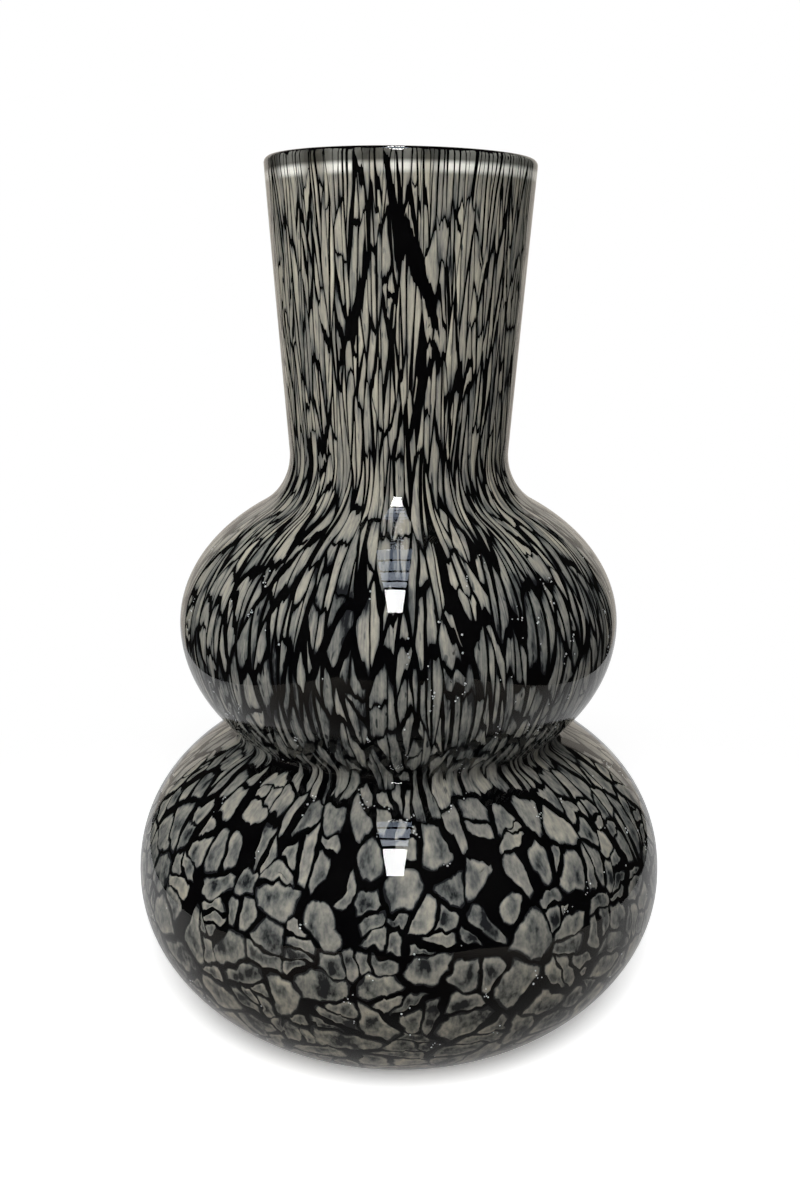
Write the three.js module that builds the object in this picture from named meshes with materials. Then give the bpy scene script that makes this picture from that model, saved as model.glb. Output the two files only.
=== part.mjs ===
// Double-bulb blown vase in three layers of glass: black liner, pale crackled skin, clear casing.
// Millimetres, +Z up, the foot ring stands on Z = 0 and the axis of the vase is the Z axis.
import * as THREE from "three";

// Foot and lower bulb
const FOOT_R = 46; // outer edge of the flat foot ring
const FOOT_WIDTH = 10; // breadth of the flat foot ring
const PUNT_DEPTH = 2; // hollow of the underside inside the ring
const LOWER_R = 105.6; // widest radius of the lower bulb
const LOWER_DROP = 72.4; // half height of its underside curve
const LOWER_RISE = 70.7; // half height of its shoulder curve
const LOWER_FULLNESS = 2.2; // power of the shoulder curve: 2 is an ellipse, more is squarer

// Upper bulb
const BULB_PITCH = 102.5; // from the lower bulb's widest ring to the upper one's
const UPPER_R = 85.5; // widest radius of the upper bulb
const UPPER_DROP = 64; // half height of its underside curve
const UPPER_RISE = 58.5; // half height of its shoulder curve
const CREASE_FILLET = 2.6; // radius in the bottom of the fold between the bulbs

// Neck and mouth
const RIM_RISE = 172; // from the upper bulb's widest ring to the top of the lip
const NECK_R = 41.3; // neck radius level with the top of the upper bulb's curve
const MOUTH_R = 49.8; // outside radius at the lip
const NECK_FILLET = 22; // radius between the upper bulb and the neck

// Layers of the wall, from the outside in
const CASING_WALL = 1.8;
const SKIN_WALL = 0.5;
const LINER_WALL = 1.6;
const FUSE_GAP = 0.3; // clearance kept between two layers
const LIP_SKIRT = 0.4; // straight side of the lip bead below its round
const CASING_FLOOR = 4.5; // casing glass under the skin, from the foot plane
const LINER_FLOOR = 5.5; // black glass in the bottom of the vase

// Fineness of the faceted solids
const SEGMENTS = 40;
const STEPS = { belly: 6, shoulder: 6, crease: 3, upperBelly: 4, upperShoulder: 5, neckFillet: 5, neck: 2 };
const LIP_STEPS = 6;
const PUNT_STEPS = 3;

// Derived places
const WALL = CASING_WALL + SKIN_WALL + LINER_WALL + 2 * FUSE_GAP;
const LIP_R = WALL / 2;
const LOWER_Z = LOWER_DROP * Math.sqrt(1 - (FOOT_R / LOWER_R) ** 2);
const UPPER_Z = LOWER_Z + BULB_PITCH;
const RIM_Z = UPPER_Z + RIM_RISE;
const BEAD_Z = RIM_Z - LIP_R - LIP_SKIRT;

const QUARTER = Math.PI / 2;
const ELLIPSE = 2;
const lower = {
  belly: { r: LOWER_R, z: LOWER_Z, b: -LOWER_DROP, n: ELLIPSE },
  shoulder: { r: LOWER_R, z: LOWER_Z, b: LOWER_RISE, n: LOWER_FULLNESS },
};
const upper = {
  belly: { r: UPPER_R, z: UPPER_Z, b: -UPPER_DROP, n: ELLIPSE },
  shoulder: { r: UPPER_R, z: UPPER_Z, b: UPPER_RISE, n: ELLIPSE },
};

// The point and outward normal of a bulb's quarter curve at angle t, measured from its widest ring.
function onBulb(bulb, t) {
  const c = Math.cos(t);
  const s = Math.sin(t);
  const power = 2 / bulb.n;
  const point = new THREE.Vector2(bulb.r * c ** power, bulb.z + bulb.b * s ** power);
  const across = Math.abs(bulb.b) * c ** (2 - power);
  const along = Math.sign(bulb.b) * bulb.r * s ** (2 - power);
  return { point, normal: new THREE.Vector2(across, along).normalize() };
}

// The angle where a falling function of the angle crosses zero.
function crossing(fn, low, high) {
  let a = low;
  let b = high;
  for (let i = 0; i < 60; i += 1) {
    const mid = (a + b) / 2;
    if (fn(mid) > 0) a = mid;
    else b = mid;
  }
  return (a + b) / 2;
}

// Centre of a circle of the given radius that touches the bulb from outside at angle t.
function outsideCentre(bulb, t, radius) {
  const at = onBulb(bulb, t);
  return at.point.clone().addScaledVector(at.normal, radius);
}

// The angle on a bulb whose normal passes through a place.
function nearestAngle(bulb, place) {
  return crossing((t) => {
    const at = onBulb(bulb, t);
    const tangent = new THREE.Vector2(-at.normal.y, at.normal.x).multiplyScalar(Math.sign(bulb.b));
    return place.clone().sub(at.point).dot(tangent);
  }, 0, QUARTER);
}

// Angles where the fold's round touches the upper bulb's underside and the lower bulb's shoulder.
function creaseTouch() {
  const clear = (t) => {
    const centre = outsideCentre(upper.belly, t, CREASE_FILLET);
    const at = onBulb(lower.shoulder, nearestAngle(lower.shoulder, centre));
    return centre.sub(at.point).dot(at.normal) - CREASE_FILLET;
  };
  const top = crossing(clear, 0, QUARTER);
  const centre = outsideCentre(upper.belly, top, CREASE_FILLET);
  return { top, bottom: nearestAngle(lower.shoulder, centre), centre };
}

// The neck's straight side, and where the round at its root touches the upper bulb.
const neckRoot = new THREE.Vector2(NECK_R, UPPER_Z + UPPER_RISE);
const neckTop = new THREE.Vector2(MOUTH_R, RIM_Z - LIP_R);
const neckAlong = neckTop.clone().sub(neckRoot).normalize();
const neckOut = new THREE.Vector2(neckAlong.y, -neckAlong.x);
function neckTouch() {
  const clear = (t) => {
    const centre = outsideCentre(upper.shoulder, t, NECK_FILLET);
    return centre.sub(neckRoot).dot(neckOut) - NECK_FILLET;
  };
  const angle = crossing(clear, 0, QUARTER);
  return { angle, centre: outsideCentre(upper.shoulder, angle, NECK_FILLET) };
}

// Places along a bulb between two angles, both ends included.
function bulbRun(bulb, from, to, steps) {
  return Array.from({ length: steps + 1 }, (_, i) => onBulb(bulb, from + ((to - from) * i) / steps));
}

// Places inside a hollow round between two outward normals, both ends left out.
function hollowRun(centre, radius, first, last, steps) {
  const a = first.angle();
  let turn = last.angle() - a;
  if (turn > Math.PI) turn -= 2 * Math.PI;
  if (turn < -Math.PI) turn += 2 * Math.PI;
  return Array.from({ length: steps - 1 }, (_, i) => {
    const angle = a + (turn * (i + 1)) / steps;
    const normal = new THREE.Vector2(Math.cos(angle), Math.sin(angle));
    return { point: centre.clone().addScaledVector(normal, -radius), normal };
  });
}

// The outside of the vase from the foot's edge to the root of the lip.
function outside() {
  const footAngle = Math.acos(FOOT_R / LOWER_R);
  const fold = creaseTouch();
  const root = neckTouch();
  const belly = bulbRun(lower.belly, footAngle, 0, STEPS.belly);
  const shoulder = bulbRun(lower.shoulder, 0, fold.bottom, STEPS.shoulder);
  const upperBelly = bulbRun(upper.belly, fold.top, 0, STEPS.upperBelly);
  const upperShoulder = bulbRun(upper.shoulder, 0, root.angle, STEPS.upperShoulder);
  const crease = hollowRun(fold.centre, CREASE_FILLET, shoulder.at(-1).normal, upperBelly[0].normal, STEPS.crease);
  const fillet = hollowRun(root.centre, NECK_FILLET, upperShoulder.at(-1).normal, neckOut, STEPS.neckFillet);
  const neckFoot = root.centre.clone().addScaledVector(neckOut, -NECK_FILLET);
  const neck = Array.from({ length: STEPS.neck + 1 }, (_, i) => ({
    point: neckFoot.clone().lerp(neckTop, i / STEPS.neck),
    normal: neckOut.clone(),
  }));
  return [
    ...belly.slice(0, -1),
    ...shoulder,
    ...crease,
    ...upperBelly.slice(0, -1),
    ...upperShoulder,
    ...fillet,
    ...neck,
  ];
}

const STATIONS = outside();

// The outside moved inward by a depth and cut level at a floor and a top.
function layerLine(depth, floor, top) {
  const line = STATIONS.map(({ point, normal }) => point.clone().addScaledVector(normal, -depth));
  const out = [];
  for (let i = 0; i < line.length; i += 1) {
    const here = line[i];
    const next = line[Math.min(i + 1, line.length - 1)];
    if (here.y > floor && here.y < top) out.push(here);
    for (const level of [floor, top]) {
      if (here.y <= level && next.y > level) out.push(here.clone().lerp(next, (level - here.y) / (next.y - here.y)));
    }
  }
  return out;
}

// A turned solid from a profile that starts and ends on the axis.
function turned(name, profile, material) {
  const geometry = new THREE.LatheGeometry(profile, SEGMENTS);
  geometry.rotateX(QUARTER);
  const mesh = new THREE.Mesh(geometry, material);
  mesh.name = name;
  return mesh;
}

// A plain cup between two depths of the wall, with its own floor and a level top.
function cup(name, outerDepth, wall, underside, floor, top, material) {
  const outer = layerLine(outerDepth, underside, top);
  const inner = layerLine(outerDepth + wall, underside + floor, top).reverse();
  const start = new THREE.Vector2(0, underside);
  const end = new THREE.Vector2(0, underside + floor);
  return turned(name, [start, ...outer, ...inner, end], material);
}

// The casing: punt, foot ring, outside wall, lip bead over the whole wall, and the inside for the skin.
function casing(material) {
  const ringIn = FOOT_R - FOOT_WIDTH;
  const punt = Array.from({ length: PUNT_STEPS + 1 }, (_, i) => {
    const t = i / PUNT_STEPS;
    return new THREE.Vector2(ringIn * t, PUNT_DEPTH * (1 - t * t));
  });
  const side = STATIONS.map(({ point }) => point.clone());
  const bead = new THREE.Vector2(MOUTH_R - LIP_R, RIM_Z - LIP_R);
  const lip = Array.from({ length: LIP_STEPS }, (_, i) => {
    const angle = (Math.PI * (i + 1)) / LIP_STEPS;
    return new THREE.Vector2(bead.x + LIP_R * Math.cos(angle), bead.y + LIP_R * Math.sin(angle));
  });
  const inside = layerLine(CASING_WALL, CASING_FLOOR, BEAD_Z).reverse();
  const underBead = new THREE.Vector2(lip.at(-1).x, BEAD_Z);
  const centre = new THREE.Vector2(0, CASING_FLOOR);
  return turned("clear_casing", [...punt, ...side, ...lip, underBead, ...inside, centre], material);
}

const clearGlass = new THREE.MeshStandardMaterial({
  color: 0xdfe5e3,
  roughness: 0.04,
  metalness: 0,
  transparent: true,
  opacity: 0.35,
});
const paleGlass = new THREE.MeshStandardMaterial({ color: 0x8c897b, roughness: 0.35, metalness: 0 });
const blackGlass = new THREE.MeshStandardMaterial({ color: 0x0b0b0d, roughness: 0.08, metalness: 0 });

const skinDepth = CASING_WALL + FUSE_GAP;
const linerDepth = skinDepth + SKIN_WALL + FUSE_GAP;
const skinUnder = CASING_FLOOR + FUSE_GAP;
const linerUnder = skinUnder + SKIN_WALL + FUSE_GAP;
const layerTop = BEAD_Z - FUSE_GAP;

const vase = new THREE.Group();
vase.name = "vase";
vase.add(
  casing(clearGlass),
  cup("crackle_skin", skinDepth, SKIN_WALL, skinUnder, SKIN_WALL, layerTop, paleGlass),
  cup("black_liner", linerDepth, LINER_WALL, linerUnder, LINER_FLOOR, layerTop, blackGlass),
);

export default vase;
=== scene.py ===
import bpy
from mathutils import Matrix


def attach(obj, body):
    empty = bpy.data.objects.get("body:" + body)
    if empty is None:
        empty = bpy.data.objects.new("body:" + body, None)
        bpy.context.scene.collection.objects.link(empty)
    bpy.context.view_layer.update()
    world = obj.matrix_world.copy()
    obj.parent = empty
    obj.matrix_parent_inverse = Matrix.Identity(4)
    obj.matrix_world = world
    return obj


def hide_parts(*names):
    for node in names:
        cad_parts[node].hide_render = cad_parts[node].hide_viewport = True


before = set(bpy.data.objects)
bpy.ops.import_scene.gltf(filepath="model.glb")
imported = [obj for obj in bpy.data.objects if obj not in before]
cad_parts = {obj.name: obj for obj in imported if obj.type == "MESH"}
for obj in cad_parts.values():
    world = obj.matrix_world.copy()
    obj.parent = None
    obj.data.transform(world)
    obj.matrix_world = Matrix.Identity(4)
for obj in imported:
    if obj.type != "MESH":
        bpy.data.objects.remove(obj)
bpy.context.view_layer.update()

import logging
import math
from collections.abc import Callable
from dataclasses import dataclass, field, replace
from enum import Enum

import bmesh
import bpy
import numpy as np
from mathutils import Vector, noise

logging.basicConfig(level=logging.INFO, format="%(message)s")
LOG = logging.getLogger("vase")

MM = 0.001
Points = np.ndarray
Rgba = tuple[float, float, float, float]
Socket = bpy.types.NodeSocket
Graded = tuple[float, float]


class Layer(Enum):
    """The three fused layers of the wall, by their CAD node."""

    CASING = "clear_casing"
    SKIN = "crackle_skin"
    LINER = "black_liner"


class Slot(Enum):
    """Material slots of the record."""

    CLEAR = "clear_glass"
    PALE = "pale_glass"
    BLACK = "black_glass"


def linear(hex_colour: str) -> Rgba:
    """Turn an sRGB hex colour into linear RGBA.

    Args:
        hex_colour: six hex digits, such as "a9a48f".

    Returns:
        Linear red, green, blue and an alpha of 1.
    """
    parts = [int(hex_colour[i:i + 2], 16) / 255 for i in (0, 2, 4)]
    lin = [c / 12.92 if c <= 0.04045 else ((c + 0.055) / 1.055) ** 2.4 for c in parts]
    return (lin[0], lin[1], lin[2], 1.0)


def add_node(tree: bpy.types.NodeTree, kind: str, settings: dict | None = None,
             values: dict | None = None, links: dict | None = None,
             stops: list[tuple[float, Rgba]] | None = None) -> bpy.types.Node:
    """Add one node with its settings, socket values, incoming links and colour stops.

    Args:
        tree: the node tree.
        kind: Blender's node type name.
        settings: attributes of the node.
        values: default values by socket name or index.
        links: sockets that feed this node, by socket name or index.
        stops: places from 0 to 1 with their colours, for a colour ramp.

    Returns:
        The new node.
    """
    node = tree.nodes.new(kind)
    for key, value in (settings or {}).items():
        setattr(node, key, value)
    for key, value in (values or {}).items():
        node.inputs[key].default_value = value
    for key, source in (links or {}).items():
        tree.links.new(source, node.inputs[key])
    bands = node.color_ramp.elements if stops else []
    while stops and len(bands) < len(stops):
        bands.new(0.5)
    for band, (place, colour) in zip(bands, stops or []):
        band.position = place
        band.color = colour
    return node


def graded(pair: Graded, platy: float) -> float:
    """Give a value between slivers and plates.

    Args:
        pair: the value on slivers, and what plates add to it.
        platy: 0 for slivers, 1 for plates.

    Returns:
        The value there.
    """
    return pair[0] + pair[1] * platy


def blank_material(name: str) -> tuple[bpy.types.Material, bpy.types.NodeTree, bpy.types.Node]:
    """Make a material with an empty tree and its output.

    Args:
        name: the material's name.

    Returns:
        The material, its tree and the output node.
    """
    material = bpy.data.materials.new(name)
    material.use_nodes = True
    material.node_tree.nodes.clear()
    return material, material.node_tree, add_node(material.node_tree, "ShaderNodeOutputMaterial")


def new_piece(name: str, verts: Points, faces: list[tuple[int, ...]],
              smooth: bool = True) -> bpy.types.Object:
    """Make a mesh object in the scene from points in metres.

    Args:
        name: the piece's name.
        verts: points, one row each.
        faces: point numbers of each face.
        smooth: shade the faces smooth.

    Returns:
        The new object.
    """
    mesh = bpy.data.meshes.new(name)
    mesh.from_pydata([tuple(map(float, v)) for v in verts], [], faces)
    mesh.update()
    if smooth:
        mesh.polygons.foreach_set("use_smooth", [True] * len(mesh.polygons))
    piece = bpy.data.objects.new(name, mesh)
    bpy.context.scene.collection.objects.link(piece)
    return piece


@dataclass(frozen=True)
class BulbCurve:
    """A quarter curve of a bulb, from its widest ring towards one of its poles, in millimetres."""

    radius: float
    level: float
    rise: float
    power: float = 2.0

    def at(self, angle: Points) -> tuple[Points, Points]:
        """Give points and outward normals.

        Args:
            angle: angles from the widest ring, in radians.

        Returns:
            Points (r, z) and unit normals, one row each.
        """
        c = np.clip(np.cos(angle), 0, 1)
        s = np.clip(np.sin(angle), 0, 1)
        e = 2 / self.power
        points = np.stack([self.radius * c ** e, self.level + self.rise * s ** e], axis=-1)
        outward = abs(self.rise) * c ** (2 - e)
        upward = np.sign(self.rise) * self.radius * s ** (2 - e)
        normals = np.stack([outward, upward], axis=-1)
        return points, normals / np.linalg.norm(normals, axis=-1, keepdims=True)


def falling_zero(fn: Callable[[float], float], low: float, high: float) -> float:
    """Find where a falling function crosses zero.

    Args:
        fn: the function of one number.
        low: an argument where it is positive.
        high: an argument where it is negative.

    Returns:
        The argument of the crossing.
    """
    for _ in range(60):
        mid = (low + high) / 2
        low, high = (mid, high) if fn(mid) > 0 else (low, mid)
    return (low + high) / 2


@dataclass(frozen=True)
class Trace:
    """The outside as closely spaced stations from the foot's edge to the top of the lip, in millimetres."""

    run: Points
    r: Points
    z: Points
    nr: Points
    nz: Points

    def sink(self, run: Points, depth: Points) -> tuple[Points, Points]:
        """Give radius and level at places along the outside, moved inward.

        Args:
            run: lengths along the outside.
            depth: depths below it.

        Returns:
            Radii and levels.
        """
        nr = np.interp(run, self.run, self.nr)
        nz = np.interp(run, self.run, self.nz)
        return np.interp(run, self.run, self.r) - depth * nr, np.interp(run, self.run, self.z) - depth * nz

    def run_at(self, level: float) -> float:
        """Length along the outside at a level."""
        return float(np.interp(level, self.z, self.run))

    def below_lip(self, depth: float, low: float, high: float) -> Points:
        """Give the outside moved inward and cut level at both ends.

        Args:
            depth: depth below the outside.
            low: level of the lower end.
            high: level of the upper end.

        Returns:
            Points (r, z) from the lower end to the upper.
        """
        r = self.r - depth * self.nr
        z = self.z - depth * self.nz
        keep = (z > low) & (z < high)
        ends = [[float(np.interp(v, z, r)), v] for v in (low, high)]
        return np.vstack([ends[:1], np.stack([r[keep], z[keep]], axis=-1), ends[1:]])


@dataclass(frozen=True)
class Outline:
    """Sizes of the turned outside, in millimetres, the same as the CAD model's.

    Then come how the vessel leans, as one made by hand does, and how many stations each stretch has.
    """

    foot_r: float = 46.0
    foot_width: float = 10.0
    punt_depth: float = 2.0
    lower_r: float = 105.6
    lower_drop: float = 72.4
    lower_rise: float = 70.7
    lower_fullness: float = 2.2
    bulb_pitch: float = 102.5
    upper_r: float = 85.5
    upper_drop: float = 64.0
    upper_rise: float = 58.5
    crease_fillet: float = 2.6
    rim_rise: float = 172.0
    neck_r: float = 41.3
    mouth_r: float = 49.8
    neck_fillet: float = 22.0
    wall: float = 4.5
    sway: float = 0.6
    sway_power: float = 1.5
    neck_sway: float = 1.5
    body_sway: float = 0.5
    rim_tilt: float = 0.014
    tilt_from: float = 290.0
    tilt_over: float = 50.0
    bulb_steps: int = 90
    fold_steps: int = 10
    root_steps: int = 24
    lip_steps: int = 14

    @property
    def lower_z(self) -> float:
        """Level of the lower bulb's widest ring."""
        return self.lower_drop * math.sqrt(1 - (self.foot_r / self.lower_r) ** 2)

    @property
    def upper_z(self) -> float:
        """Level of the upper bulb's widest ring."""
        return self.lower_z + self.bulb_pitch

    @property
    def rim_z(self) -> float:
        """Level of the top of the lip."""
        return self.upper_z + self.rim_rise

    @property
    def lip_r(self) -> float:
        """Radius of the lip's round, half the wall."""
        return self.wall / 2

    def trace(self) -> Trace:
        """Lay stations along the whole outside.

        Returns:
            The stations with their normals.
        """
        fine = self.bulb_steps
        belly = BulbCurve(self.lower_r, self.lower_z, -self.lower_drop)
        shoulder = BulbCurve(self.lower_r, self.lower_z, self.lower_rise, self.lower_fullness)
        waist = BulbCurve(self.upper_r, self.upper_z, -self.upper_drop)
        crown = BulbCurve(self.upper_r, self.upper_z, self.upper_rise)
        quarter = math.pi / 2

        def nearest(curve: BulbCurve, place: Points) -> float:
            """Angle on a curve whose normal passes through a place."""
            def along(t: float) -> float:
                """How far the place lies ahead of the curve's point."""
                p, n = curve.at(np.array(t))
                return float(np.dot(place - p, np.array([-n[1], n[0]]) * np.sign(curve.rise)))
            return falling_zero(along, 0, quarter)

        def crease_clear(t: float) -> float:
            """Room between the fold's round and the lower bulb."""
            p, n = waist.at(np.array(t))
            centre = p + self.crease_fillet * n
            q, m = shoulder.at(np.array(nearest(shoulder, centre)))
            return float(np.dot(centre - q, m)) - self.crease_fillet

        fold_top = falling_zero(crease_clear, 0, quarter)
        p, n = waist.at(np.array(fold_top))
        fold = p + self.crease_fillet * n
        fold_low = nearest(shoulder, fold)
        root = np.array([self.neck_r, self.upper_z + self.upper_rise])
        top = np.array([self.mouth_r, self.rim_z - self.lip_r])
        up = (top - root) / np.linalg.norm(top - root)
        out = np.array([up[1], -up[0]])

        def neck_clear(t: float) -> float:
            """Room between the root's round and the neck."""
            q, m = crown.at(np.array(t))
            return float(np.dot(q + self.neck_fillet * m - root, out)) - self.neck_fillet

        crown_end = falling_zero(neck_clear, 0, quarter)
        q, m = crown.at(np.array(crown_end))
        bend = q + self.neck_fillet * m

        def hollow(centre: Points, radius: float, first: Points, last: Points,
                   count: int) -> tuple[Points, Points]:
            """Stations of a hollow round between two outward normals."""
            a, b = (math.atan2(v[1], v[0]) for v in (first, last))
            t = np.linspace(a, b, count + 2)[1:-1]
            normals = np.stack([np.cos(t), np.sin(t)], axis=-1)
            return centre - radius * normals, normals

        foot_angle = math.acos(self.foot_r / self.lower_r)
        neck_foot = bend - self.neck_fillet * out
        share = np.linspace(0, 1, fine)[:, None]
        lip_angle = np.linspace(0, quarter, self.lip_steps)[1:]
        lip_normal = np.stack([np.cos(lip_angle), np.sin(lip_angle)], axis=-1)
        lip_centre = np.array([self.mouth_r - self.lip_r, self.rim_z - self.lip_r])
        runs = [
            belly.at(np.linspace(foot_angle, 0, fine)[:-1]),
            shoulder.at(np.linspace(0, fold_low, fine)),
            hollow(fold, self.crease_fillet, shoulder.at(np.array(fold_low))[1], n, self.fold_steps),
            waist.at(np.linspace(fold_top, 0, fine)[:-1]),
            crown.at(np.linspace(0, crown_end, fine)),
            hollow(bend, self.neck_fillet, m, out, self.root_steps),
            (neck_foot + share * (top - neck_foot), np.repeat(out[None], fine, axis=0)),
            (lip_centre + self.lip_r * lip_normal, lip_normal),
        ]
        points = np.vstack([p for p, _ in runs])
        normals = np.vstack([v for _, v in runs])
        run = np.concatenate([[0], np.cumsum(np.linalg.norm(np.diff(points, axis=0), axis=1))])
        return Trace(run, points[:, 0], points[:, 1], normals[:, 0], normals[:, 1])

    def by_hand(self, points: Points) -> Points:
        """Lean turned points as a vessel made by hand leans.

        Args:
            points: points in millimetres, one row each.

        Returns:
            The leaned points, in metres.
        """
        x, y, z = points[:, 0], points[:, 1], points[:, 2]
        high = np.clip((z - self.upper_z) / self.rim_rise, 0, 1)
        near_rim = np.clip((z - self.tilt_from) / self.tilt_over, 0, 1)
        lean = np.clip(z / self.upper_z, 0, 1)
        moved_x = x + self.sway * (high ** self.sway_power * self.neck_sway - self.body_sway * lean)
        return np.stack([moved_x, y, z - self.rim_tilt * x * near_rim ** 2], axis=-1) * MM


def turn(name: str, line: Points, outline: Outline, segments: int) -> bpy.types.Object:
    """Turn a line round the axis into a closed mesh.

    Args:
        name: the piece's name.
        line: points (r, z) in millimetres that start and end on the axis.
        outline: the vase's outline, which leans the result.
        segments: steps round the axis.

    Returns:
        The turned piece.
    """
    angle = np.arange(segments) * (2 * math.pi / segments)
    inner = line[1:-1]
    ring = np.stack([
        np.outer(inner[:, 0], np.cos(angle)),
        np.outer(inner[:, 0], np.sin(angle)),
        np.repeat(inner[:, 1:2], segments, axis=1),
    ], axis=-1).reshape(-1, 3)
    poles = np.array([[0, 0, line[0, 1]], [0, 0, line[-1, 1]]])
    verts = outline.by_hand(np.vstack([ring, poles]))
    rows = len(inner)
    south, north = rows * segments, rows * segments + 1
    faces: list[tuple[int, ...]] = []
    for k in range(segments):
        n = (k + 1) % segments
        faces.append((south, n, k))
        faces.append((north, (rows - 1) * segments + k, (rows - 1) * segments + n))
        for i in range(rows - 1):
            a, b = i * segments, (i + 1) * segments
            faces.append((a + k, a + n, b + n, b + k))
    return new_piece(name, verts, faces)


@dataclass(frozen=True)
class ClearCasingGlass:
    """Soda-lime glass, gathered clear and fire polished.

    It gives the eye sharp reflections that bend a little where the blown wall waves, bright edges
    at a glancing angle, and the layers below with no haze.
    """

    tint: str = "fbfdfc"
    ior: float = 1.5
    wave_mm: float = 34.0
    wave_height_mm: float = 0.05

    def make(self) -> bpy.types.Material:
        """Build the material."""
        material, tree, out = blank_material("clear_soda_lime_glass_fire_polished")
        place = add_node(tree, "ShaderNodeTexCoord").outputs["Object"]
        wave = add_node(tree, "ShaderNodeTexNoise",
                        values={"Scale": 1 / (self.wave_mm * MM), "Detail": 1.0}, links={"Vector": place})
        bump = add_node(tree, "ShaderNodeBump",
                        values={"Strength": 1.0, "Distance": self.wave_height_mm * MM},
                        links={"Height": wave.outputs["Fac"]})
        shader = add_node(tree, "ShaderNodeBsdfPrincipled", values={
            "Base Color": linear(self.tint), "Roughness": 0.0, "IOR": self.ior, "Transmission Weight": 1.0,
        }, links={"Normal": bump.outputs["Normal"]})
        tree.links.new(shader.outputs[0], out.inputs["Surface"])
        return material


class Where(Enum):
    """Which flakes a marking is on, by the mesh attribute that says so."""

    ALL = ""
    SLIVERS = "sliver"
    PLATES = "plate"
    TIPS = "tip"


@dataclass(frozen=True)
class Marking:
    """A marking in the pale glass, which was drawn out with it.

    Its breadth and its length in millimetres, as it lies on the upper bulb; how fine its noise is; how
    much it lightens the glass; where it is; and the noise values between which it comes in, if it
    isn't even.
    """

    name: str
    breadth: float
    length: float
    detail: float
    amount: float
    where: Where = Where.ALL
    comes_in: tuple[float, float] | None = None


MARKINGS = (
    Marking("streak", 1.05, 32.0, 3.0, 0.5, Where.SLIVERS),
    Marking("plate_grain", 3.3, 9.3, 2.0, 0.5, Where.PLATES),
    Marking("cloud", 5.0, 17.0, 2.0, 0.5),
    Marking("dark_cloud", 5.7, 24.0, 1.5, -0.3, Where.SLIVERS, (0.52, 0.72)),
    Marking("hair", 0.35, 24.0, 1.0, -0.24, Where.SLIVERS, (0.6, 0.74)),
    Marking("fleck", 1.2, 4.3, 2.0, 0.16, Where.ALL, (0.3, 0.7)),
    Marking("speck", 1.7, 6.5, 0.0, -0.3, Where.SLIVERS, (0.72, 0.8)),
    Marking("smudge", 5.3, 17.0, 1.2, -0.36, Where.PLATES, (0.44, 0.8)),
    Marking("comb", 1.2, 43.0, 1.0, -0.55, Where.TIPS, (0.42, 0.6)),
)


@dataclass(frozen=True)
class PaintedLightZone:
    """A ring of the pale glass with a tint laid over it, as painted light or shade.

    The two levels between which it comes in, in millimetres above the foot, or below the lip where it
    says so; its tint, how that is blended in and how far; and the patches it comes in, if it isn't even.
    """

    name: str
    begins: float
    full: float
    from_lip: bool
    tint: str
    blend: str
    share: float = 1.0
    patch: Marking | None = None


PAINTED_LIGHT_ZONES = (
    # Painted light: warm light bounced from the floor, laid on the flakes towards the foot
    PaintedLightZone("painted_warm_floor_bounce", 95.0, 35.0, False, "fff6ea", "MULTIPLY"),
    # Painted light: a white ring below the lip, where the lip's round would focus light onto the flakes
    PaintedLightZone("painted_lip_caustic", 9.0, 6.8, True, "f3f1ea", "MIX", 0.95,
         Marking("lip_caustic_patch", 28.0, math.inf, 0.0, 1.0, Where.ALL, (0.28, 0.6))),
    # Painted shade: the top band of flakes dimmed, as they look when seen through the lip's round
    PaintedLightZone("painted_lip_shade", 5.9, 3.9, True, "6f6f6d", "MULTIPLY"),
)


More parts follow.
